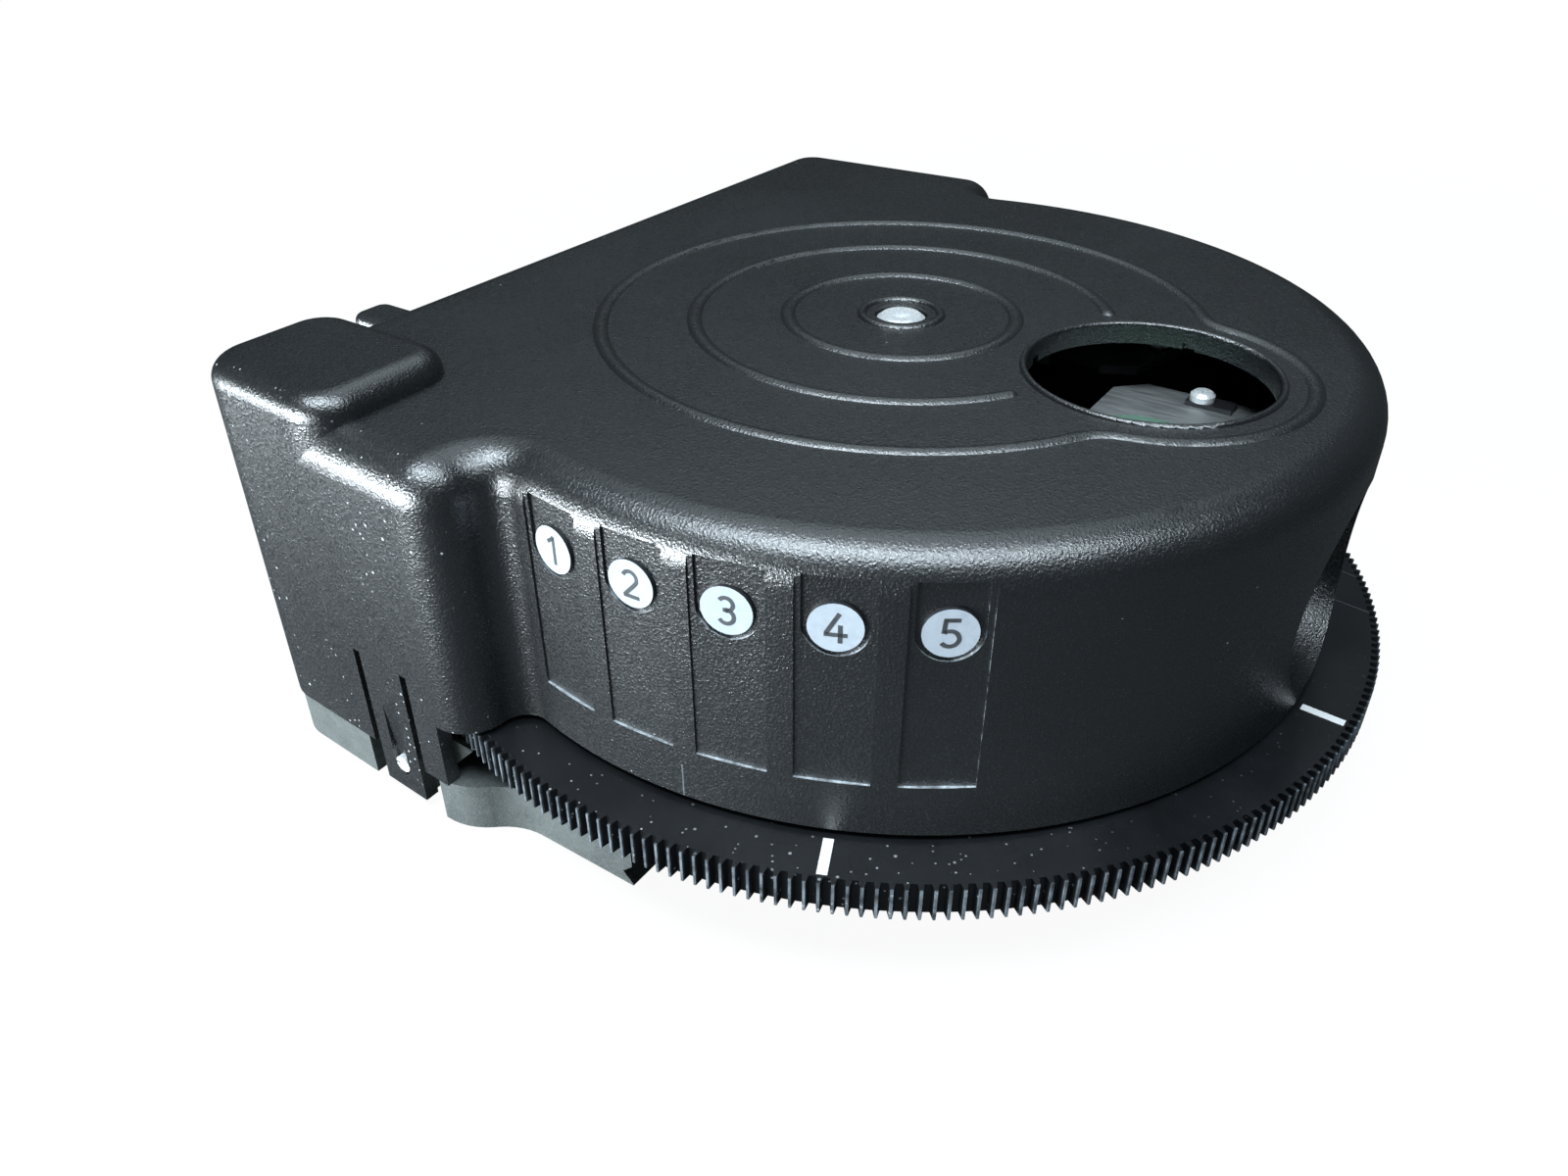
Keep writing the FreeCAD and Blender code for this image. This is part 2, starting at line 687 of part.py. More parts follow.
def make_base_plate():
    body = new_body("base_body")
    step_rear, step_front = d.base_step_rear, d.base_step_front
    rear = d.box_rear - d.base_inset
    outline = new_sketch(body, "base_outline")
    polygon(outline, [
        (-half_width(rear, d.base_inset), rear),
        (-half_width(step_rear, d.base_inset), step_rear),
        (-d.base_rail_half, step_front),
        (-d.base_rail_half, -d.base_rail_front),
        (d.base_rail_half, -d.base_rail_front),
        (d.base_rail_half, step_front),
        (half_width(step_rear, d.base_inset), step_rear),
        (half_width(rear, d.base_inset), rear),
    ])
    pad(body, "base_plate_pad", outline, d.base_height)
    disc = new_sketch(body, "base_round")
    circle(disc, d.base_disc_radius)
    feature = pad(body, "base_round_pad", disc, d.base_height)
    steps = upright(0, 0, lambda x, y: abs(x) > 76 and 15 < y < 35)
    feature = round_edges(body, "base_steps", feature, d.base_step_radius, steps)
    corners = upright(0, 0, lambda x, y: y > 60)
    feature = round_edges(body, "base_corners", feature, d.box_corner_rear - d.base_inset,
                          corners)
    light = new_sketch(body, "base_light")
    circle(light, d.base_opening, 0, -d.optical_radius)
    pocket(body, "base_light_pocket", light, d.base_height)
    seat = new_sketch(body, "axle_seat", height=d.base_height - d.axle_foot_depth)
    circle(seat, d.axle_foot_radius + d.fit_gap)
    pocket(body, "axle_seat_pocket", seat, d.axle_foot_depth)

    boss = box("leaf_boss", 14, 7, d.leaf_low + d.leaf_height - d.base_height + 1,
               -42, d.leaf_line, d.base_height - 1)
    pieces = [body, boss]
    cuts = []
    recess = 7.2
    for side, word in ((-1, "left"), (1, "right")):
        wall = half_width(d.tongue_centre)
        cuts.append(box(f"tongue_room_{word}", 20, 17.6, d.base_height + 2,
                        side * (wall - recess) - (20 if side < 0 else 0),
                        d.tongue_centre - 8.9, -1))
        groove = box(f"guide_notch_{word}", 12, 2.6, 2.6)
        groove.Placement.Rotation = FreeCAD.Rotation(FreeCAD.Vector(1, 0, 0), 45)
        place(groove, side * (d.base_rail_half - 4) - 6, -d.base_rail_front, 0.3)
        cuts.append(groove)
    plain = cut("base_cut", fuse("base_with_boss", pieces), fuse("base_cuts", cuts))
    ears = [plain]
    holes = []
    for side, word in ((-1, "left"), (1, "right")):
        wall = half_width(d.tongue_centre)
        face = wall - d.cover_wall - 0.4
        ears.append(box(f"screw_ear_{word}", 6, 7, d.base_height - 1,
                        side * face - (0 if side < 0 else 6), d.tongue_centre - 3.5, 1))
        holes.append(cylinder(f"ear_hole_{word}", d.side_screw_shank + d.fit_gap, 5,
                              side * (face - 4.2), d.tongue_centre, d.side_screw_height,
                              (0, 1, 0), 90 * side))
    for k, x in enumerate((-38.5, -31.5)):
        holes.append(cylinder(f"leaf_screw_hole_{k}", 0.8 + d.fit_gap, 5,
                              x, d.leaf_line + 4.5, d.leaf_low + d.leaf_height / 2,
                              (1, 0, 0), 90))
    whole = fuse("base_whole", ears)
    node("base_plate", cut("base_plate", whole, fuse("base_holes", holes)))


# Axle and bearings

def make_axle():
    body = new_body("axle")
    foot = d.base_height - d.axle_foot_depth
    flange = d.base_height + d.axle_flange
    top = d.cover_top - d.cover_roof
    groove = d.bearing_high + d.bearing_width + 0.2
    shoulder = d.axle_radius + 1.3
    revolve(body, "axle_turned", [
        (0, foot),
        (d.axle_foot_radius, foot),
        (d.axle_foot_radius, d.base_height),
        (d.axle_flange_radius, d.base_height),
        (d.axle_flange_radius, flange),
        (shoulder, flange),
        (shoulder, d.bearing_low),
        (d.axle_radius, d.bearing_low),
        (d.axle_radius, groove),
        (d.axle_radius - 0.5, groove),
        (d.axle_radius - 0.5, groove + 1.1),
        (d.axle_radius, groove + 1.1),
        (d.axle_radius, top),
        (2 + d.fit_gap, top),
        (2 + d.fit_gap, top - 12),
        (0, top - 12),
    ])
    node("axle", body)


def make_circlip():
    body = new_body("axle_circlip")
    groove = d.bearing_high + d.bearing_width + 0.2
    inner = d.axle_radius - 0.5 + d.fit_gap
    revolve(body, "clip_ring", [
        (inner, groove + 0.05),
        (inner + 1.7, groove + 0.05),
        (inner + 1.7, groove + 1.05),
        (inner, groove + 1.05),
    ])
    gap = new_sketch(body, "clip_gap", height=groove - 1)
    polygon(gap, [(-1.5, 4), (1.5, 4), (1.5, 9), (-1.5, 9)])
    pocket(body, "clip_gap_pocket", gap, 4)
    node("axle_circlip", body)


def race(name, low, inner, outer):
    """One race, a plain ring with the balls' groove."""
    ring = cut(f"{name}_ring",
               cylinder(f"{name}_outer", outer, d.bearing_width, z=low),
               cylinder(f"{name}_inner", inner, d.bearing_width, z=low))
    groove = torus(f"{name}_groove", d.ball_circle, d.ball_radius + d.ball_gap,
                   z=low + d.bearing_width / 2)
    return cut(name, ring, groove)


def make_bearings():
    levels = (("lower", d.bearing_low), ("upper", d.bearing_high))
    inner, outer, balls, cages = [], [], [], []
    for word, low in levels:
        inner.append(race(f"inner_race_{word}", low, d.axle_radius + d.fit_gap / 3,
                          d.ball_circle - d.race_lip))
        outer.append(race(f"outer_race_{word}", low, d.ball_circle + d.race_lip,
                          d.bearing_outer - d.fit_gap / 3))
        middle = low + d.bearing_width / 2
        pockets = []
        for k in range(int(d.balls.number)):
            angle = 360.0 / d.balls.number * k
            x = d.ball_circle * math.cos(math.radians(angle))
            y = d.ball_circle * math.sin(math.radians(angle))
            ball = doc.addObject("Part::Sphere", f"ball_{word}_{k}")
            bind(ball, "Radius", d.ball_radius)
            balls.append(place(ball, x, y, middle))
            pockets.append(cylinder(f"cage_pocket_{word}_{k}", d.ball_radius + 0.05, 8,
                                    0, 0, middle, (0, 1, 0), 90))
            pockets[-1].Placement = FreeCAD.Placement(
                FreeCAD.Vector(0, 0, 0),
                FreeCAD.Rotation(FreeCAD.Vector(0, 0, 1), angle)
                * FreeCAD.Rotation(FreeCAD.Vector(0, 1, 0), 90),
            )
            pockets[-1].setExpression("Placement.Base.z", middle.formula)
            bind(pockets[-1], "Height", d.bearing_outer)
        band = cut(f"cage_band_{word}",
                   cylinder(f"cage_outside_{word}", d.ball_circle + 0.4, 4, z=middle - 2),
                   cylinder(f"cage_inside_{word}", d.ball_circle - 0.4, 4, z=middle - 2))
        cages.append(cut(f"cage_{word}", band, fuse(f"cage_pockets_{word}", pockets)))
    node("bearing_inner_races", group("bearing_inner_races", inner))
    node("bearing_outer_races", group("bearing_outer_races", outer))
    node("bearing_balls", group("bearing_balls", balls))
    node("bearing_cages", group("bearing_cages", cages))


# Rotor

def make_hub():
    body = new_body("hub")
    under_disc = d.disc_top - d.disc_thickness
    seat = d.bearing_outer
    low_seat = d.bearing_low + d.bearing_width
    revolve(body, "hub_turned", [
        (seat, d.flange_low),
        (d.flange_radius, d.flange_low),
        (d.flange_radius, under_disc),
        (d.hub_radius, under_disc),
        (d.hub_radius, d.hub_top),
        (seat, d.hub_top),
        (seat, d.bearing_high),
        (d.hub_shoulder, d.bearing_high),
        (d.hub_shoulder, low_seat),
        (seat, low_seat),
    ])
    notch = new_sketch(body, "detent_notch", height=d.flange_low - 1)
    bottom = d.flange_radius - d.notch_depth
    wide = d.notch_depth + 1
    polygon(notch, [(-wide, bottom + wide), (0, bottom), (wide, bottom + wide)])
    tall = under_disc - d.flange_low + 2
    feature = pocket(body, "detent_notch_pocket", notch, tall)
    polar(body, "detent_notches", feature, notch, d.positions)
    hole = new_sketch(body, "hub_screw_hole", height=d.flange_low + 0.6)
    angle = -90 + d.position_angle / 2
    circle(hole, d.hub_screw_shank + d.fit_gap,
           d.hub_screw_circle * cosine(angle), d.hub_screw_circle * sine(angle))
    feature = pocket(body, "hub_screw_pocket", hole, tall)
    polar(body, "hub_screw_holes", feature, hole, d.positions)
    node("hub", body)


def make_toothed_disc():
    """The wheel that is turned by hand: its rim carries the fine teeth."""
    body = new_body("toothed_disc")
    low = d.disc_top - d.disc_thickness
    blank = new_sketch(body, "disc_blank", height=low)
    circle(blank, d.disc_radius)
    circle(blank, d.hub_radius + d.fit_gap)
    pad(body, "disc_pad", blank, d.disc_thickness)

    tall = d.disc_thickness + 2
    light = new_sketch(body, "disc_light", height=low - 1)
    circle(light, d.light_opening, 0, -d.optical_radius)
    feature = pocket(body, "disc_light_pocket", light, tall)
    polar(body, "disc_light_openings", feature, light, d.positions)

    between = -90 + d.position_angle / 2
    hole = new_sketch(body, "disc_screw_hole", height=low - 1)
    circle(hole, d.hub_screw_shank + 0.15,
           d.hub_screw_circle * cosine(between), d.hub_screw_circle * sine(between))
    feature = pocket(body, "disc_screw_pocket", hole, tall)
    polar(body, "disc_screw_holes", feature, hole, d.positions)

    for side, word in ((-1, "left"), (1, "right")):
        through = new_sketch(body, f"module_hole_{word}", height=low - 1)
        circle(through, d.module_screw_shank + 0.15, side * d.module_screw_side,
               -d.optical_radius)
        feature = pocket(body, f"module_pocket_{word}", through, tall)
        polar(body, f"module_holes_{word}", feature, through, d.positions)
        sink = new_sketch(body, f"module_sink_{word}", height=low - 1)
        circle(sink, d.module_screw_head + 0.25, side * d.module_screw_side,
               -d.optical_radius)
        feature = pocket(body, f"module_sink_pocket_{word}", sink, 1 + 3.1)
        polar(body, f"module_sinks_{word}", feature, sink, d.positions)

    for k in range(1, int(d.positions.number) + 1):
        angle = mark_angle(k)
        groove = new_sketch(body, f"mark_groove_{k}", height=d.disc_top - d.mark_depth)
        polygon(groove, bar_corners(angle))
        pocket(body, f"mark_pocket_{k}", groove, d.mark_depth + 1)

    gap = new_sketch(body, "tooth_gap", height=low - 1)
    root_radius = d.disc_radius - d.tooth_depth
    half_step = 180 / d.teeth
    root_half = root_radius * sine(half_step) - d.tooth_root / 2
    tip_half = d.disc_radius * sine(half_step) - d.tooth_tip / 2
    slope = (tip_half - root_half) / d.tooth_depth
    past = 0.6
    polygon(gap, [
        (root_radius, -root_half),
        (d.disc_radius + past, -tip_half - slope * past),
        (d.disc_radius + past, tip_half + slope * past),
        (root_radius, root_half),
    ])
    feature = pocket(body, "tooth_gap_pocket", gap, tall)
    polar(body, "tooth_gaps", feature, gap, d.teeth)
    node("toothed_disc", body)


def mark_angle(k):
    """Direction of index mark k with the active position in the light path."""
    return d.label_angle + (k - d.active_position) * (d.label_pitch - d.position_angle)


def bar_corners(angle):
    """Corners of an index mark that points along a direction."""
    corners = []
    half = d.mark_width / 2
    for out, side in ((0, -1), (1, -1), (1, 1), (0, 1)):
        reach = d.mark_inner + out * d.mark_length
        corners.append((
            reach * cosine(angle) - side * half * sine(angle),
            reach * sine(angle) + side * half * cosine(angle),
        ))
    return corners


def make_index_marks():
    marks = []
    play = 0.02
    for k in range(1, int(d.positions.number) + 1):
        bar = box(f"mark_{k}", d.mark_length - 2 * play, d.mark_width - 2 * play,
                  d.mark_depth + d.mark_proud,
                  d.mark_inner + play, -d.mark_width / 2 + play, d.disc_top - d.mark_depth)
        marks.append(turn_about_axis(group(f"mark_place_{k}", [bar]), mark_angle(k)))
    node("index_marks", group("index_marks", marks))


def socket_screw(name, head_radius, head_height, shank_radius, shank_length, x, y, z, down):
    """A socket head screw whose head starts at z; its shank points down or else up."""
    sign = -1 if down else 1
    head = cylinder(f"{name}_head", head_radius, head_height,
                    x, y, z if down else z - head_height)
    shank = cylinder(f"{name}_shank", shank_radius, shank_length,
                     x, y, z - shank_length if down else z)
    whole = fuse(f"{name}_solid", [head, shank])
    hexagon = doc.addObject("Part::Prism", f"{name}_socket")
    hexagon.Polygon = 6
    bind(hexagon, "Circumradius", head_radius * 0.5)
    bind(hexagon, "Height", head_height * 0.6)
    top = z + head_height if down else z - head_height
    place(hexagon, x, y, top - head_height * 0.6 if down else top)
    return cut(name, whole, hexagon)


def make_hub_screws():
    screws = []
    for k in range(int(d.positions.number)):
        screw = socket_screw(f"hub_screw_{k}", d.hub_screw_head, 2.6, d.hub_screw_shank, 8.2,
                             d.hub_screw_circle, 0, d.disc_top, True)
        angle = -90 + d.position_angle * (k + 0.5)
        screws.append(turn_about_axis(screw, angle))
    node("hub_screws", group("hub_screws", screws))


# Detent

def make_detent_leaf():
    """A steel leaf on edge, bent to a nose that drops into the notch behind the hub."""
    body = new_body("detent_leaf")
    back, thick = d.leaf_line, d.leaf_thickness
    front = back - thick
    tip = d.flange_radius - d.notch_depth + 1.41421 * d.leaf_gap
    reach = front - tip
    sketch = new_sketch(body, "leaf_outline", height=d.leaf_low)
    skew = 0.41421 * thick
    polygon(sketch, [
        (-41.5, front),
        (-reach, front),
        (0, tip),
        (reach, front),
        (9.0, front),
        (9.0, back),
        (reach - skew, back),
        (0, tip + 1.41421 * thick),
        (-reach + skew, back),
        (-41.5, back),
    ])
    pad(body, "leaf_pad", sketch, d.leaf_height)
    middle = d.leaf_low + d.leaf_height / 2
    holes = [
        cylinder(f"leaf_hole_{k}", 0.9, 4, x, back + 2, middle, (1, 0, 0), 90)
        for k, x in enumerate((-38.5, -31.5))
    ]
    node("detent_leaf", cut("detent_leaf_bored", body, fuse("leaf_holes", holes)))


def make_detent_screws():
    screws = []
    middle = d.leaf_low + d.leaf_height / 2
    front = d.leaf_line - d.leaf_thickness
    for k, x in enumerate((-38.5, -31.5)):
        head = cylinder(f"leaf_screw_head_{k}", 1.5, 1.1, x, front, middle, (1, 0, 0), 90)
        shank = cylinder(f"leaf_screw_shank_{k}", 0.8, 4.5, x, front + 4.5, middle,
                         (1, 0, 0), 90)
        slot = box(f"leaf_screw_slot_{k}", 0.4, 0.5, 4, x - 0.2, front - 1.1, middle - 2)
        screws.append(cut(f"leaf_screw_{k}", fuse(f"leaf_screw_solid_{k}", [head, shank]),
                          slot))
    node("detent_screws", group("detent_screws", screws))


# Reflector modules, each first drawn on +X and then turned to its place

def module_angle(k):
    """Direction of module k with the active position in the light path."""
    return -90 - (k - d.active_position) * d.position_angle


def module_outline(body, name, low):
    sketch = new_sketch(body, name, height=low)
    half, corner = d.module_width / 2, d.module_corner
    polygon(sketch, [
        (d.module_inner, -half + corner),
        (d.module_inner + corner, -half),
        (d.module_outer, -half),
        (d.module_outer, half),
        (d.module_inner + corner, half),
        (d.module_inner, half - corner),
    ])
    return sketch


def make_module(k):
    angle = module_angle(k)
    axis_out = d.optical_radius
    top = d.module_top - d.plate_thickness
    low = d.disc_top
    screw_y = d.plate_screw_side
    screw_x = axis_out + d.plate_screw_out

    body = new_body(f"module_{k}_block")
    pad(body, f"module_{k}_pad", module_outline(body, f"module_{k}_outline", low), top - low)
    seat = d.filter_radius + d.fit_gap
    deep = d.excitation_thickness + d.ring_thickness
    cuts = [
        cylinder(f"module_{k}_light", d.bore_radius, top - low + 2, axis_out, 0, low - 1),
        cylinder(f"module_{k}_entry", d.bore_radius, 30, axis_out, 0, d.beam_height,
                 (0, 1, 0), 90),
        cylinder(f"module_{k}_top_seat", seat, 5, axis_out, 0, top - d.emission_thickness),
        cylinder(f"module_{k}_front_seat", seat, 10, d.module_outer - deep, 0, d.beam_height,
                 (0, 1, 0), 90),
    ]
    play = 0.1
    slot = box(f"module_{k}_slot", d.splitter_length + 2 * play,
               d.module_width, d.splitter_thickness + 2 * play)
    set_slanted(slot, axis_out, -d.splitter_width / 2 - play,
                d.splitter_length / 2 + play, d.splitter_thickness / 2 + play)
    cuts.append(slot)
    for side, word in ((-1, "left"), (1, "right")):
        cuts.append(cylinder(f"module_{k}_plate_hole_{word}", 1.0 + d.fit_gap, 6,
                             screw_x, side * screw_y, top - 5))
        cuts.append(cylinder(f"module_{k}_foot_hole_{word}",
                             d.module_screw_shank + d.fit_gap, 9,
                             axis_out, side * d.module_screw_side, low - 1))
    housing = cut(f"module_{k}_housing", body, fuse(f"module_{k}_cuts", cuts))
    node(f"module_{k}_housing", turn_about_axis(housing, angle))

    plate_body = new_body(f"module_{k}_plate_body")
    pad(plate_body, f"module_{k}_plate_pad",
        module_outline(plate_body, f"module_{k}_plate_outline", top), d.plate_thickness)
    holes = [cylinder(f"module_{k}_window", d.bore_radius, 4, axis_out, 0, top - 1)]
    for side, word in ((-1, "left"), (1, "right")):
        holes.append(cylinder(f"module_{k}_screw_way_{word}", 1.15, 4,
                              screw_x, side * screw_y, top - 1))
    plate = cut(f"module_{k}_top_plate", plate_body, fuse(f"module_{k}_holes", holes))
    node(f"module_{k}_top_plate", turn_about_axis(plate, angle))

    splitter = box(f"module_{k}_splitter_glass", d.splitter_length, d.splitter_width,
                   d.splitter_thickness)
    set_slanted(splitter, axis_out, -d.splitter_width / 2,
                d.splitter_length / 2, d.splitter_thickness / 2)
    node(f"module_{k}_beam_splitter",
         turn_about_axis(group(f"module_{k}_beam_splitter", [splitter]), angle))

    emission = cylinder(f"module_{k}_emission_glass", d.filter_radius, d.emission_thickness,
                        axis_out, 0, top - d.emission_thickness)
    node(f"module_{k}_emission_filter",
         turn_about_axis(group(f"module_{k}_emission_filter", [emission]), angle))

    excitation = cylinder(f"module_{k}_excitation_glass", d.filter_radius,
                          d.excitation_thickness, d.module_outer - deep, 0, d.beam_height,
                          (0, 1, 0), 90)
    node(f"module_{k}_excitation_filter",
         turn_about_axis(group(f"module_{k}_excitation_filter", [excitation]), angle))

    ring = cut(f"module_{k}_ring",
               cylinder(f"module_{k}_ring_outside", d.filter_radius, d.ring_thickness,
                        d.module_outer - d.ring_thickness, 0, d.beam_height, (0, 1, 0), 90),
               cylinder(f"module_{k}_ring_inside", d.filter_radius - 1.8,
                        d.ring_thickness + 2, d.module_outer - d.ring_thickness - 1, 0,
                        d.beam_height, (0, 1, 0), 90))
    turn_about_axis(ring, angle)

    screws, clips, feet = [], [], []
    for side, word in ((-1, "left"), (1, "right")):
        clip_low = d.module_top
        clip = cut(f"module_{k}_clip_{word}",
                   box(f"module_{k}_tab_{word}", 7.5, 3.6, 0.8,
                       screw_x - 2.2, side * screw_y - 1.8, clip_low),
                   cylinder(f"module_{k}_tab_hole_{word}", 1.1, 3,
                            screw_x, side * screw_y, clip_low - 1))
        clips.append(turn_about_axis(clip, angle))
        head = cylinder(f"module_{k}_pan_{word}", 2.0, 1.5,
                        screw_x, side * screw_y, clip_low + 0.8)
        dome = doc.addObject("Part::Sphere", f"module_{k}_dome_{word}")
        bind(dome, "Radius", 2.6)
        place(dome, screw_x, side * screw_y, clip_low + 0.8 + 1.9 - 2.6)
        pan = common(f"module_{k}_pan_top_{word}", head, dome)
        shank = cylinder(f"module_{k}_pin_{word}", 1.0, 6,
                         screw_x, side * screw_y, clip_low + 0.8 - 6)
        solid = fuse(f"module_{k}_screw_solid_{word}", [pan, shank])
        cross = fuse(f"module_{k}_cross_{word}", [
            box(f"module_{k}_cross_a_{word}", 2.2, 0.5, 2,
                screw_x - 1.1, side * screw_y - 0.25, clip_low + 1.5),
            box(f"module_{k}_cross_b_{word}", 0.5, 2.2, 2,
                screw_x - 0.25, side * screw_y - 1.1, clip_low + 1.5),
        ])
        screw = cut(f"module_{k}_screw_{word}", solid, cross)
        screws.append(turn_about_axis(screw, angle))
        foot = socket_screw(f"module_{k}_foot_{word}", d.module_screw_head, 2.8,
                            d.module_screw_shank, 9,
                            axis_out, side * d.module_screw_side,
                            d.disc_top - d.disc_thickness + 3.1, False)
        feet.append(turn_about_axis(foot, angle))
    return ring, clips, screws, feet


def set_slanted(thing, x, y, half_length, half_thickness):
    """Lay a plate at 45 degrees, its middle on the crossing of the two light axes."""
    thing.Placement.Rotation = FreeCAD.Rotation(FreeCAD.Vector(0, 1, 0), -45)
    step = math.sqrt(0.5)
    along, across = half_length * step, half_thickness * step
    place(thing, x - along + across, y, d.beam_height - along - across)


def make_modules():
    rings, clips, screws, feet = [], [], [], []
    for k in range(1, int(d.positions.number) + 1):
        ring, some_clips, some_screws, some_feet = make_module(k)
        rings.append(ring)
        clips.extend(some_clips)
        screws.extend(some_screws)
        feet.extend(some_feet)
    node("filter_retaining_rings", group("filter_retaining_rings", rings))
    node("plate_clips", group("plate_clips", clips))
    node("plate_screws", group("plate_screws", screws))
    node("module_foot_screws", group("module_foot_screws", feet))


# Screws of the cover

def make_centre_screw():
    body = new_body("centre_screw")
    seat = d.cover_top - 1.8
    revolve(body, "centre_screw_turned", [
        (0, seat - 9),
        (2.0, seat - 9),
        (2.0, seat),
        (4.0, seat),
        (4.0, seat + 1.1),
        (3.2, seat + 1.7),
        (0, seat + 1.7),
    ])
    socket = new_sketch(body, "centre_socket", height=seat + 0.5)
    reach = 1.75
    points = []
    for k in range(6):
        angle = math.radians(60 * k + 30)
        points.append((as_size(round(reach * math.cos(angle), 4)),
                       as_size(round(reach * math.sin(angle), 4))))
    polygon(socket, points)
    pocket(body, "centre_socket_pocket", socket, 4)
    node("cover_centre_screw", body)


def make_side_screws():
    screws = []
    wall = half_width(d.tongue_centre)
    for side, word in ((-1, "left"), (1, "right")):
        seat = side * (wall - 1.0)
        head = cylinder(f"side_head_{word}", d.side_screw_head, 0.9,
                        seat, d.tongue_centre, d.side_screw_height, (0, 1, 0), 90 * side)
        shank = cylinder(f"side_shank_{word}", d.side_screw_shank, 5,
                         seat - side * 5, d.tongue_centre, d.side_screw_height,
                         (0, 1, 0), 90 * side)
        slot = box(f"side_slot_{word}", 0.5, 5, 0.45,
                   seat + side * 0.9 - (0 if side < 0 else 0.5),
                   d.tongue_centre - 2.5, d.side_screw_height - 0.225)
        screws.append(cut(f"side_screw_{word}",
                          fuse(f"side_solid_{word}", [head, shank]), slot))
    node("cover_side_screws", group("cover_side_screws", screws))


def check_everything():
    """Stop before anything is written if a feature or a shape is faulty."""
    for thing in doc.Objects:
        if "Invalid" in thing.State or "Error" in thing.State:
            raise RuntimeError(f"{thing.Name} is faulty: {thing.State}")
    for name, thing in nodes.items():
        shape = thing.Shape
        if shape.isNull() or not shape.isValid() or not shape.Solids:
            raise RuntimeError(f"{name} has no valid solid")


make_base_plate()
make_cover()
make_number_discs()
make_axle()
make_circlip()
make_bearings()
make_hub()
make_toothed_disc()
make_index_marks()
make_hub_screws()
make_detent_leaf()
make_detent_screws()
make_modules()
make_centre_screw()
make_side_screws()
doc.recompute()
check_everything()
for name, thing in nodes.items():
    thing.Shape.exportStep(f"parts/{name}.step")
    print(name, len(thing.Shape.Solids), "solids", round(thing.Shape.Volume, 1), "mm3")
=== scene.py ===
import math

import bpy
import numpy as np
from mathutils import Matrix, Vector


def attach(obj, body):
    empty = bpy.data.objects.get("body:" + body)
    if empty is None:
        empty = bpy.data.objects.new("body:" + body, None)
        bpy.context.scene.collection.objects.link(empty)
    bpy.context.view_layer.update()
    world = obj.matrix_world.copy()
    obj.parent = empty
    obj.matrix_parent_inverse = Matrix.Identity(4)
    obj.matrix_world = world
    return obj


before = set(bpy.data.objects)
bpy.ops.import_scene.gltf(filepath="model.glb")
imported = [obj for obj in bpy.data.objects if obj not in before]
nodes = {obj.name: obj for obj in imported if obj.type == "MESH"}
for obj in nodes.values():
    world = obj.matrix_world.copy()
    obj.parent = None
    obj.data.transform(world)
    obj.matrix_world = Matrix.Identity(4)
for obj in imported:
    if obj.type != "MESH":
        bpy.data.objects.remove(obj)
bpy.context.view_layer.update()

MM = 0.001

# Sizes in millimetres and angles in degrees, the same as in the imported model.
NUMBER_FACE = 75.31
NUMBER_HEIGHT = 53.5
LABEL_ANGLE = -156.1
LABEL_PITCH = 10.4
ACTIVE = 4

# The numerals in millimetres: height, how far they stand out and reach in, and the half width of
# a stroke as a share of the height.
NUMBER_TALL = 4.4
NUMBER_OUT = 0.03
NUMBER_IN = 0.02
STROKE_HALF = 0.064

# Where marks are painted, in metres: the number fields' ledges (wear and painted highlight), the
# left end wall (rubbed flecks) and the teeth's tips (painted highlight). The seam's direction and
# half width are in degrees.
FIELD_HEIGHTS = (0.0282, 0.0575)
FIELD_RADII = (0.0744, 0.0762)
FIELD_RIGHT_END = -0.045
SEAM_ANGLE = -172.1
SEAM_HALF = 0.09
SEAM_HEIGHTS = (0.0195, 0.0262)
END_WALL = -0.0795
TOOTH_TIPS = (0.08425, 0.08450)

# The floor in metres: half its side, how far it lies under the base plate, and from where to
# where its own glow rises from NEAR to FAR.
FLOOR_HALF = 6.0
FLOOR_DROP = 0.0002
GLOW_FROM, GLOW_TO = 0.25, 0.8
GLOW_NEAR, GLOW_FAR = 0.94, 1.0

# Light: the world's plain grey, then each lamp's name, place, aim, size, power and colour.
WORLD = (0.046, 0.053, 0.057)
MIDDLE = (0, 0, 0.05)
COOL = (0.80, 0.92, 1.0)
LAMPS = (
    ("lamp_key", (-0.32, 0.057, 0.781), MIDDLE, (0.36, 0.20), 5.6, COOL),
    ("lamp_front", (-0.131, -0.325, 0.769), MIDDLE, (0.36, 0.20), 3.4, COOL),
    ("lamp_back", (0.433, 0.25, 0.916), MIDDLE, (0.8, 0.6), 1.9, (0.80, 0.93, 1.0)),
    ("lamp_left", (-0.529, 0.281, 0.034), (-0.05, 0, 0.034), (0.55, 0.056), 8.6,
     (0.86, 0.95, 1.0)),
)


def make_camera():
    """The photograph's viewpoint: above the left front of the turret, 33 degrees down."""
    data = bpy.data.cameras.new("camera")
    data.sensor_width = 36.0
    data.lens = 27.453
    data.clip_start = 0.01
    camera = bpy.data.objects.new("camera", data)
    bpy.context.scene.collection.objects.link(camera)
    camera.location = (-0.16792, -0.09031, 0.13669)
    camera.rotation_euler = [math.radians(a) for a in (56.1728, 0.1187, -55.9345)]
    bpy.context.scene.camera = camera


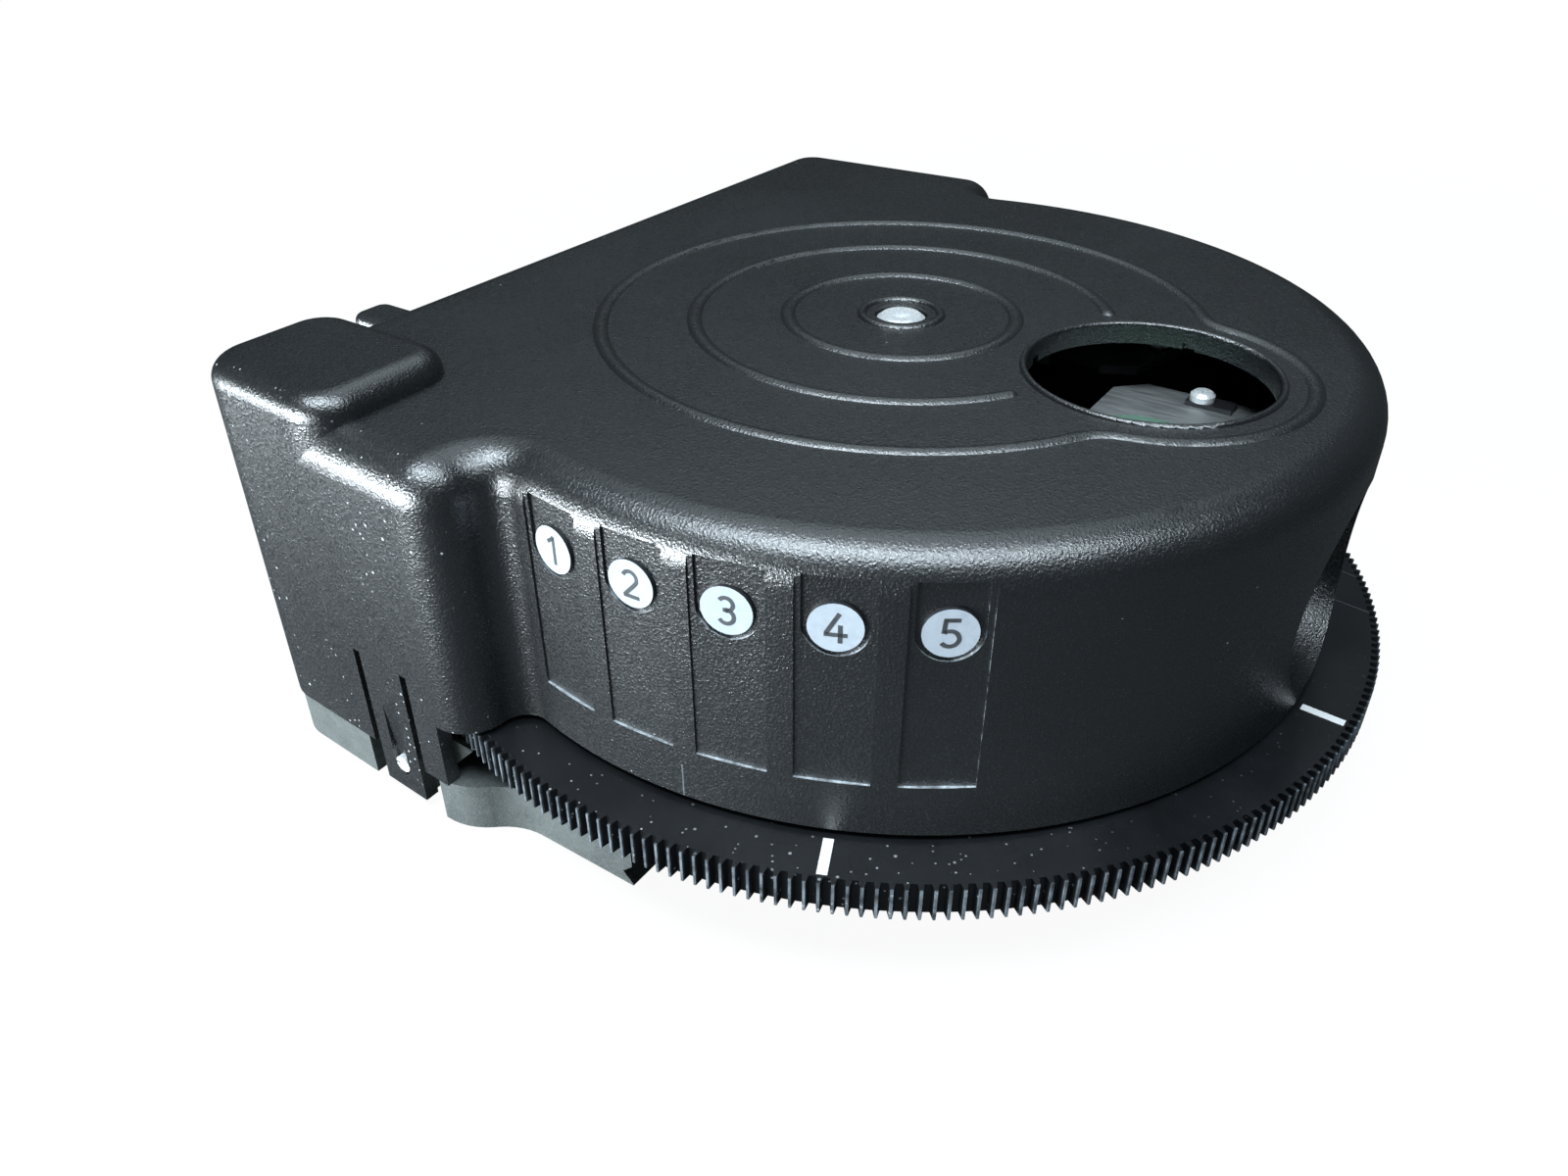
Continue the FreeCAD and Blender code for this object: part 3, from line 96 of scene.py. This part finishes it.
class Shader:
    """A node material with a few calls for the nodes that every finish here is made of."""

    def __init__(self, name):
        self.material = bpy.data.materials.new(name)
        self.material.use_nodes = True
        self.tree = self.material.node_tree
        self.base = self.tree.nodes["Principled BSDF"]
        self.place = self.node("ShaderNodeTexCoord").outputs["Object"]

    def node(self, kind, **settings):
        made = self.tree.nodes.new(kind)
        for key, value in settings.items():
            setattr(made, key, value)
        return made

    def link(self, source, target):
        self.tree.links.new(source, target)

    def feed(self, target, value):
        """Links an output to the target, or sets the target to a plain value."""
        if isinstance(value, bpy.types.NodeSocket):
            self.link(value, target)
        else:
            target.default_value = value

    def stretched(self, x, y, z):
        """Object coordinates multiplied along each axis."""
        made = self.node("ShaderNodeMapping")
        self.link(self.place, made.inputs["Vector"])
        made.inputs["Scale"].default_value = (x, y, z)
        return made.outputs["Vector"]

    def noise(self, scale, detail=2.0, rough=0.5, place=None):
        """Cloudy noise from 0 to 1 with scale swells to a metre."""
        made = self.node("ShaderNodeTexNoise")
        self.link(place or self.place, made.inputs["Vector"])
        made.inputs["Scale"].default_value = scale
        made.inputs["Detail"].default_value = detail
        made.inputs["Roughness"].default_value = rough
        return made.outputs["Fac"]

    def cells(self, scale, place=None):
        """Voronoi cells: the distance to the nearest seed, and each cell's own colour."""
        made = self.node("ShaderNodeTexVoronoi")
        self.link(place or self.place, made.inputs["Vector"])
        made.inputs["Scale"].default_value = scale
        return made.outputs["Distance"], made.outputs["Color"]

    def ramp(self, value, low, high, start=0.0, end=1.0):
        """Value between low and high, stretched to start and end and held outside them."""
        made = self.node("ShaderNodeMapRange")
        self.feed(made.inputs["Value"], value)
        for key, number in (("From Min", low), ("From Max", high),
                            ("To Min", start), ("To Max", end)):
            made.inputs[key].default_value = number
        return made.outputs["Result"]

    def math(self, operation, first, second=0.0):
        made = self.node("ShaderNodeMath", operation=operation)
        self.feed(made.inputs[0], first)
        self.feed(made.inputs[1], second)
        return made.outputs[0]

    def mix(self, share, first, second):
        """Colour between first and second, by share."""
        made = self.node("ShaderNodeMix", data_type="RGBA")
        self.feed(made.inputs["Factor"], share)
        self.feed(made.inputs["A"], first)
        self.feed(made.inputs["B"], second)
        return made.outputs["Result"]

    def bump(self, height, depth, strength=1.0):
        """Normal of a surface raised by height, at most depth in metres."""
        made = self.node("ShaderNodeBump")
        made.inputs["Strength"].default_value = strength
        made.inputs["Distance"].default_value = depth
        self.link(height, made.inputs["Height"])
        return made.outputs["Normal"]

    def specks(self, scale, size, share):
        """Small round specks: 1 inside a speck and 0 elsewhere, in a share of the cells."""
        distance, colour = self.cells(scale)
        near = self.math("LESS_THAN", distance, size)
        chosen = self.math("LESS_THAN", self.channel(colour), share)
        return self.math("MULTIPLY", near, chosen)

    def along(self, axis):
        """Object coordinate along X, Y or Z, in metres."""
        made = self.node("ShaderNodeSeparateXYZ")
        self.link(self.place, made.inputs["Vector"])
        return made.outputs[axis]

    def radius(self):
        """Distance from the turret's axis, in metres."""
        squared = self.math("ADD", self.math("POWER", self.along("X"), 2.0),
                            self.math("POWER", self.along("Y"), 2.0))
        return self.math("SQRT", squared)

    def facing(self):
        """Shares of the surface normal along X, Y and Z, each from -1 to 1."""
        shape = self.node("ShaderNodeNewGeometry")
        made = self.node("ShaderNodeSeparateXYZ")
        self.link(shape.outputs["Normal"], made.inputs["Vector"])
        return made.outputs["X"], made.outputs["Y"], made.outputs["Z"]

    def facing_outward(self):
        """Share of the normal that points straight away from the turret's axis."""
        x, y, _ = self.facing()
        out = self.math("ADD", self.both(x, self.along("X")), self.both(y, self.along("Y")))
        return self.math("DIVIDE", out, self.radius())

    def facing_clockwise(self):
        """Share of the normal that points clockwise round the turret's axis, seen from above."""
        x, y, _ = self.facing()
        out = self.math("SUBTRACT", self.both(x, self.along("Y")), self.both(y, self.along("X")))
        return self.math("DIVIDE", out, self.radius())

    def both(self, *masks):
        """Product of the masks, 1 only where all of them are 1."""
        result = masks[0]
        for mask in masks[1:]:
            result = self.math("MULTIPLY", result, mask)
        return result

    def between(self, value, low, high):
        """1 where the value lies between low and high, and 0 elsewhere."""
        return self.both(self.math("GREATER_THAN", value, low),
                         self.math("LESS_THAN", value, high))

    def channel(self, colour):
        """Red share of a colour, as a number that differs from cell to cell."""
        made = self.node("ShaderNodeSeparateColor")
        self.link(colour, made.inputs["Color"])
        return made.outputs["Red"]

    def finish(self, colour, rough, metal=0.0, normal=None, level=0.5):
        """Sets the surface's colour and gloss, and returns the material."""
        self.feed(self.base.inputs["Base Color"], colour)
        self.feed(self.base.inputs["Roughness"], rough)
        self.base.inputs["Metallic"].default_value = metal
        self.base.inputs["Specular IOR Level"].default_value = level
        if normal is not None:
            self.link(normal, self.base.inputs["Normal"])
        return self.material


def rgb(r, g, b):
    return (r, g, b, 1.0)


def cover_finish():
    """Black coating with a fine sandy grain, dust, and worn field ledges with a painted highlight
    on them.
    """
    s = Shader("cover_black")
    grain = s.noise(2700, 2.0, 0.6)
    cloud = s.noise(26, 3.0, 0.6)
    cloudy = s.ramp(cloud, 0.3, 0.7)
    colour = s.mix(cloudy, rgb(0.0034, 0.0042, 0.0050), rgb(0.0060, 0.0072, 0.0082))
    colour = s.mix(s.ramp(grain, 0.52, 0.75), colour, rgb(0.016, 0.020, 0.024))

    # Number fields' ledges, paler where they face up and on the side edges that face clockwise:
    # worn metal broken up by noise, with a painted highlight where the ledges catch the light
    field = s.both(s.between(s.along("Z"), *FIELD_HEIGHTS), s.between(s.radius(), *FIELD_RADII),
                   s.math("LESS_THAN", s.along("X"), FIELD_RIGHT_END))
    wear_and_glint_breakup = s.noise(700, 4.0, 0.65)
    ledge_wear_and_highlight = s.both(field, s.ramp(s.facing()[2], 0.3, 0.6), s.ramp(wear_and_glint_breakup, 0.35, 0.6, 0.2, 0.9))
    side_wear_and_highlight = s.both(field, s.ramp(s.facing_clockwise(), 0.4, 0.7),
                    s.ramp(wear_and_glint_breakup, 0.45, 0.65, 0.0, 0.45))
    # Painted highlight mixed with wear: up-facing ledges pale, side edges facing clockwise lighter
    colour = s.mix(ledge_wear_and_highlight, colour, rgb(0.66, 0.72, 0.77))
    colour = s.mix(side_wear_and_highlight, colour, rgb(0.45, 0.50, 0.54))

    # Parting seam at the cover's lower edge
    turn = s.math("ARCTAN2", s.along("Y"), s.along("X"))
    seam = s.both(s.between(turn, math.radians(SEAM_ANGLE - SEAM_HALF),
                            math.radians(SEAM_ANGLE + SEAM_HALF)),
                  s.between(s.along("Z"), *SEAM_HEIGHTS))
    colour = s.mix(s.math("MULTIPLY", seam, 0.5), colour, rgb(0.20, 0.23, 0.26))

    # Dust all over, and rubbed flecks on the left end wall
    colour = s.mix(s.specks(330, 0.05, 0.08), colour, rgb(0.35, 0.38, 0.40))
    flecks = s.math("MAXIMUM", s.specks(620, 0.15, 0.14), s.specks(1100, 0.20, 0.10))
    rubbed = s.both(s.math("LESS_THAN", s.along("X"), END_WALL), flecks,
                    s.ramp(s.noise(45, 2.0, 0.5), 0.42, 0.58))
    colour = s.mix(rubbed, colour, rgb(0.55, 0.58, 0.60))
    rough = s.math("ADD", s.ramp(grain, 0.35, 0.65, 0.37, 0.23),
                   s.ramp(cloud, 0.3, 0.7, -0.01, 0.03))
    normal = s.bump(grain, 0.00011)
    s.base.inputs["IOR"].default_value = 2.1
    return s.finish(colour, rough, normal=normal, level=0.5)


def wheel_finish():
    """Black coated wheel, dusty on top, with a painted highlight along the teeth's tips."""
    s = Shader("disc_black")
    cloud = s.noise(60, 4.0, 0.65)
    fine = s.noise(2600, 2.0, 0.5)
    colour = s.mix(s.ramp(cloud, 0.35, 0.7), rgb(0.004, 0.005, 0.006), rgb(0.007, 0.008, 0.010))
    # Painted highlight along the teeth's tips, broken up by noise
    tip_highlight = s.both(s.ramp(s.radius(), *TOOTH_TIPS),
                 s.ramp(s.noise(420, 3.0, 0.6), 0.35, 0.65, 0.2, 1.0))
    colour = s.mix(tip_highlight, colour, rgb(0.20, 0.23, 0.26))
    left = s.ramp(s.along("X"), -0.045, -0.075, 0.12, 1.0)
    flecks = s.math("MAXIMUM", s.specks(560, 0.13, 0.16), s.specks(1200, 0.20, 0.14))
    dust = s.both(flecks, left, s.ramp(s.noise(60, 2.0, 0.5), 0.35, 0.6, 0.1, 1.0))
    colour = s.mix(dust, colour, rgb(0.42, 0.45, 0.47))
    hair = s.both(s.between(s.noise(55, 1.0, 0.3, s.stretched(1.0, 0.5, 1.0)), 0.4985, 0.5015),
                  s.math("GREATER_THAN", s.noise(14, 1.0, 0.5), 0.6))
    colour = s.mix(hair, colour, rgb(0.10, 0.11, 0.12))
    rough = s.ramp(cloud, 0.3, 0.7, 0.32, 0.42)
    s.base.inputs["IOR"].default_value = 1.6
    return s.finish(colour, rough, normal=s.bump(fine, 0.00002, 0.5), level=0.5)


def anodised_finish(name, colour, lighter, rough, level, metal, dusty=0.06):
    """Smooth dark coated metal with a very fine unevenness, dust and cloudy variation."""
    s = Shader(name)
    cloud = s.noise(60, 4.0, 0.65)
    fine = s.noise(2600, 2.0, 0.5)
    dust = s.specks(300, 0.06, dusty)
    mixed = s.mix(s.ramp(cloud, 0.35, 0.7), rgb(*colour), rgb(*lighter))
    mixed = s.mix(dust, mixed, rgb(0.4, 0.42, 0.44))
    shine = s.ramp(cloud, 0.3, 0.7, rough - 0.05, rough + 0.06)
    return s.finish(mixed, shine, metal, s.bump(fine, 0.00002, 0.5), level)


def metal_finish(name, colour, darker, rough, stretch=(1, 1, 1), metal=1.0):
    """Bare metal with fine brushing along one axis and slightly darker clouds."""
    s = Shader(name)
    brushed = s.noise(1500, 3.0, 0.6, s.stretched(*stretch))
    cloud = s.noise(90, 3.0, 0.6)
    mixed = s.mix(s.ramp(cloud, 0.35, 0.7), rgb(*colour), rgb(*darker))
    shine = s.ramp(brushed, 0.3, 0.7, rough - 0.06, rough + 0.08)
    return s.finish(mixed, shine, metal, s.bump(brushed, 0.00001, 0.6))


def cast_finish():
    """Bead blasted grey casting, mottled, with darker stains."""
    s = Shader("base_cast")
    grain = s.noise(3800, 3.0, 0.6)
    stain = s.noise(120, 5.0, 0.7)
    colour = s.mix(s.ramp(stain, 0.35, 0.7), rgb(0.19, 0.21, 0.205), rgb(0.08, 0.09, 0.09))
    colour = s.mix(s.ramp(grain, 0.5, 0.8), colour, rgb(0.28, 0.305, 0.30))
    rough = s.ramp(stain, 0.3, 0.7, 0.40, 0.55)
    return s.finish(colour, rough, 0.45, s.bump(grain, 0.00006, 0.8))


def white_finish(name, colour, greyer, edged=False):
    """Off-white printed face with a very fine unevenness, and a dark edge where it is edged."""
    s = Shader(name)
    cloud = s.noise(700, 4.0, 0.7)
    mixed = s.mix(s.ramp(cloud, 0.4, 0.75), rgb(*colour), rgb(*greyer))
    if edged:
        mixed = s.mix(s.ramp(s.facing_outward(), 0.95, 0.90), mixed, rgb(0.02, 0.022, 0.025))
    return s.finish(mixed, s.ramp(cloud, 0.3, 0.7, 0.35, 0.5), 0.0, s.bump(cloud, 0.00001, 0.5))


def glass_finish(name, colour, tint):
    """Coated glass: mirror-like, with a coloured reflection that drifts a little."""
    s = Shader(name)
    cloud = s.noise(40, 2.0, 0.5)
    mixed = s.mix(s.ramp(cloud, 0.3, 0.7), rgb(*colour), rgb(*tint))
    made = s.finish(mixed, s.ramp(cloud, 0.3, 0.7, 0.04, 0.08), 0.0)
    s.base.inputs["Transmission Weight"].default_value = 0.6
    s.base.inputs["IOR"].default_value = 1.5
    return made


def make_finishes():
    """One finish of each kind, by the short names that FINISH_OF uses."""
    return {
        "cover_black": cover_finish(),
        "disc_black": wheel_finish(),
        "base": cast_finish(),
        "number_white": white_finish("number_white", (0.46, 0.52, 0.585), (0.38, 0.43, 0.49), True),
        "white_mark": white_finish("white_mark", (0.95, 0.96, 0.96), (0.86, 0.88, 0.88)),
        "bright": metal_finish("bright_steel", (0.93, 0.95, 0.96), (0.80, 0.82, 0.83), 0.28,
                               metal=0.35),
        "spring": metal_finish("spring_steel", (0.45, 0.45, 0.47), (0.3, 0.3, 0.32), 0.34,
                               (1, 0.05, 1)),
        "bearing": metal_finish("bearing_steel", (0.62, 0.62, 0.64), (0.48, 0.48, 0.5), 0.16),
        "brass": metal_finish("cage_brass", (0.72, 0.55, 0.25), (0.5, 0.36, 0.15), 0.3),
        "rotor": anodised_finish("rotor_metal", (0.05, 0.05, 0.055), (0.08, 0.08, 0.085), 0.36,
                                 0.5, 0.6),
        "dark_screw": anodised_finish("dark_screw", (0.03, 0.03, 0.033), (0.05, 0.05, 0.055),
                                      0.3, 0.6, 0.5, 0.02),
        "housing": anodised_finish("housing_metal", (0.02, 0.02, 0.022), (0.035, 0.035, 0.038),
                                   0.45, 0.4, 0.3, 0.03),
        "plate": metal_finish("plate_metal", (0.66, 0.68, 0.68), (0.52, 0.54, 0.54), 0.5,
                              (1, 0.1, 1)),
        "splitter": glass_finish("glass_splitter", (0.75, 0.7, 0.35), (0.7, 0.55, 0.4)),
        "emission": glass_finish("glass_emission", (0.35, 0.75, 0.45), (0.4, 0.7, 0.6)),
        "excitation": glass_finish("glass_excitation", (0.3, 0.45, 0.85), (0.4, 0.4, 0.8)),
    }


# Each node's finish. The modules' pieces are named without module and number.
FINISH_OF = {
    "base_plate": "base", "cover": "cover_black", "number_discs": "number_white",
    "axle": "bearing", "axle_circlip": "spring", "bearing_inner_races": "bearing",
    "bearing_outer_races": "bearing", "bearing_balls": "bearing", "bearing_cages": "brass",
    "hub": "rotor", "toothed_disc": "disc_black", "index_marks": "white_mark",
    "hub_screws": "dark_screw", "detent_leaf": "spring", "detent_screws": "dark_screw",
    "filter_retaining_rings": "rotor", "plate_clips": "dark_screw",
    "plate_screws": "bright", "module_foot_screws": "dark_screw",
    "cover_centre_screw": "bright", "cover_side_screws": "bright",
    "housing": "housing", "top_plate": "plate", "beam_splitter": "splitter",
    "emission_filter": "emission", "excitation_filter": "excitation",
}


def dress_nodes():
    """Gives every CAD node its finish."""
    finishes = make_finishes()
    for name, node in nodes.items():
        kind = name if name in FINISH_OF else name.split("_", 2)[2]
        node.data.materials.clear()
        node.data.materials.append(finishes[FINISH_OF[kind]])


def arc(x, y, radius, start, end):
    """Points of a round stroke: centre x, y, radius, and the turn from start to end in degrees."""
    turn = np.radians(np.linspace(start, end, 24))
    return np.column_stack([x + radius * np.cos(turn), y + radius * np.sin(turn)])


def ribbon(path, half):
    """Flat band along a path: each point moved half a width to both sides, square to the path."""
    path = np.asarray(path, float)
    way = np.gradient(path, axis=0)
    way /= np.linalg.norm(way, axis=1)[:, None]
    side = np.column_stack([-way[:, 1], way[:, 0]]) * half
    return np.vstack([path + side, path - side])


def straight(*corners):
    """Points along each straight run, two close together at its ends to keep the band even."""
    runs = []
    for first, last in zip(corners[:-1], corners[1:]):
        share = np.array([0.0, 0.01, 0.5, 0.99, 1.0])[:, None]
        runs.append(np.array(first) * (1 - share) + np.array(last) * share)
    return runs


# The numerals' strokes, in a box one high: straight runs and round parts of the middle line.
STROKES = {
    1: straight((-0.20, 0.24), (0.07, 0.44)) + straight((0.06, 0.50), (0.06, -0.50)),
    2: [arc(0.0, 0.19, 0.235, 165, -38)] + straight((0.185, 0.045), (-0.24, -0.43))
       + straight((-0.27, -0.43), (0.29, -0.43)),
    3: [arc(-0.01, 0.215, 0.215, 150, -92), arc(-0.01, -0.195, 0.235, 92, -150)]
       + straight((-0.10, 0.02), (0.03, 0.02)),
    4: straight((0.10, 0.48), (-0.27, -0.20)) + straight((-0.32, -0.23), (0.33, -0.23))
       + straight((0.13, 0.10), (0.13, -0.50)),
    5: straight((0.24, 0.43), (-0.20, 0.43)) + straight((-0.15, 0.49), (-0.20, 0.0))
       + [arc(-0.02, -0.175, 0.255, 128, -148)],
}


def numeral_mesh(figure, place):
    """Thin raised numeral: a band on each stroke, its face and its back joined round the rim."""
    corners, faces, base = [], [], 0
    for path in STROKES[figure]:
        band = ribbon(path, STROKE_HALF) * NUMBER_TALL * MM
        count = len(band) // 2
        flat = np.column_stack([band, np.full(len(band), NUMBER_OUT * MM)])
        corners.extend([flat, flat - np.array([0, 0, (NUMBER_OUT + NUMBER_IN) * MM])])
        step = np.arange(count - 1)
        top = np.column_stack([step + 1, step, step + count, step + count + 1])
        under = top[:, ::-1] + 2 * count
        left = np.column_stack([step, step + 1, step + 1 + 2 * count, step + 2 * count])
        right = np.column_stack([step + 1, step, step + 2 * count, step + 1 + 2 * count]) + count
        ends = np.array([[0, 2 * count, 3 * count, count],
                         [count - 1, 2 * count - 1, 4 * count - 1, 3 * count - 1]])
        faces.append(np.vstack([top, under, left, right, ends]) + base)
        base += 4 * count
    mesh = bpy.data.meshes.new(f"numeral_{figure}")
    mesh.from_pydata(np.vstack(corners).tolist(), [], np.vstack(faces).tolist())
    mesh.transform(place)
    return mesh


def add_digits():
    """The numerals 1 to 5, each standing on its own disc in the wall."""
    s = Shader("numeral_grey")
    cloud = s.noise(900, 3.0, 0.6)
    grey = s.mix(s.ramp(cloud, 0.3, 0.7), rgb(0.045, 0.048, 0.054), rgb(0.070, 0.074, 0.082))
    ink = s.finish(grey, s.ramp(cloud, 0.3, 0.7, 0.45, 0.6))
    for k in range(1, 6):
        turn = math.radians(LABEL_ANGLE + (k - ACTIVE) * LABEL_PITCH)
        across = (-math.sin(turn), math.cos(turn), 0.0)
        upright = (0.0, 0.0, 1.0)
        outward = (math.cos(turn), math.sin(turn), 0.0)
        place = Matrix((across, upright, outward)).transposed().to_4x4()
        place.translation = (outward[0] * NUMBER_FACE * MM, outward[1] * NUMBER_FACE * MM,
                             NUMBER_HEIGHT * MM)
        mesh = numeral_mesh(k, place)
        numeral = bpy.data.objects.new(f"numeral_{k}", mesh)
        bpy.context.scene.collection.objects.link(numeral)
        mesh.materials.append(ink)
        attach(numeral, "housing")


def make_floor():
    """Pale floor under the base plate. It keeps the shadow and is white to the camera.

    A share of its white is a glow for the camera alone, so that it throws little light upwards.
    """
    s = Shader("floor_white")
    s.finish(rgb(0.055, 0.057, 0.059), 0.8, level=0.2)
    s.base.inputs["Emission Color"].default_value = rgb(1.0, 1.0, 1.0)
    path = s.node("ShaderNodeLightPath")
    glow = s.ramp(s.radius(), GLOW_FROM, GLOW_TO, GLOW_NEAR, GLOW_FAR)
    s.link(s.both(path.outputs["Is Camera Ray"], glow), s.base.inputs["Emission Strength"])
    mesh = bpy.data.meshes.new("floor")
    corners = [(x * FLOOR_HALF, y * FLOOR_HALF, -FLOOR_DROP)
               for x, y in ((-1, -1), (1, -1), (1, 1), (-1, 1))]
    mesh.from_pydata(corners, [], [(0, 1, 2, 3)])
    mesh.materials.append(s.material)
    floor = bpy.data.objects.new("floor", mesh)
    bpy.context.scene.collection.objects.link(floor)


def add_lamp(name, place, aim, size, power, colour):
    """Rectangular lamp at a place, turned towards its aim."""
    data = bpy.data.lights.new(name, "AREA")
    data.shape = "RECTANGLE"
    data.size, data.size_y = size
    data.energy = power
    data.color = colour
    lamp = bpy.data.objects.new(name, data)
    bpy.context.scene.collection.objects.link(lamp)
    lamp.location = place
    toward = Vector(aim) - Vector(place)
    lamp.rotation_euler = toward.to_track_quat("-Z", "Y").to_euler()


def make_light():
    """Studio light: a dim even world, three lamps above and a low one on the left.

    The world is white where the camera looks at it, straight or through glass.
    """
    world = bpy.data.worlds.new("studio")
    bpy.context.scene.world = world
    world.use_nodes = True
    tree = world.node_tree
    sky = tree.nodes["Background"]
    path = tree.nodes.new("ShaderNodeLightPath")
    seen = tree.nodes.new("ShaderNodeMath")
    seen.operation = "MAXIMUM"
    tree.links.new(path.outputs["Is Camera Ray"], seen.inputs[0])
    tree.links.new(path.outputs["Is Transmission Ray"], seen.inputs[1])
    colour = tree.nodes.new("ShaderNodeMix")
    colour.data_type = "RGBA"
    tree.links.new(seen.outputs[0], colour.inputs["Factor"])
    colour.inputs["A"].default_value = (*WORLD, 1.0)
    colour.inputs["B"].default_value = (1.0, 1.0, 1.0, 1.0)
    tree.links.new(colour.outputs["Result"], sky.inputs["Color"])
    sky.inputs["Strength"].default_value = 1.0
    for lamp in LAMPS:
        add_lamp(*lamp)


make_camera()
dress_nodes()
add_digits()
make_floor()
make_light()
bpy.context.scene.view_settings.view_transform = "Standard"
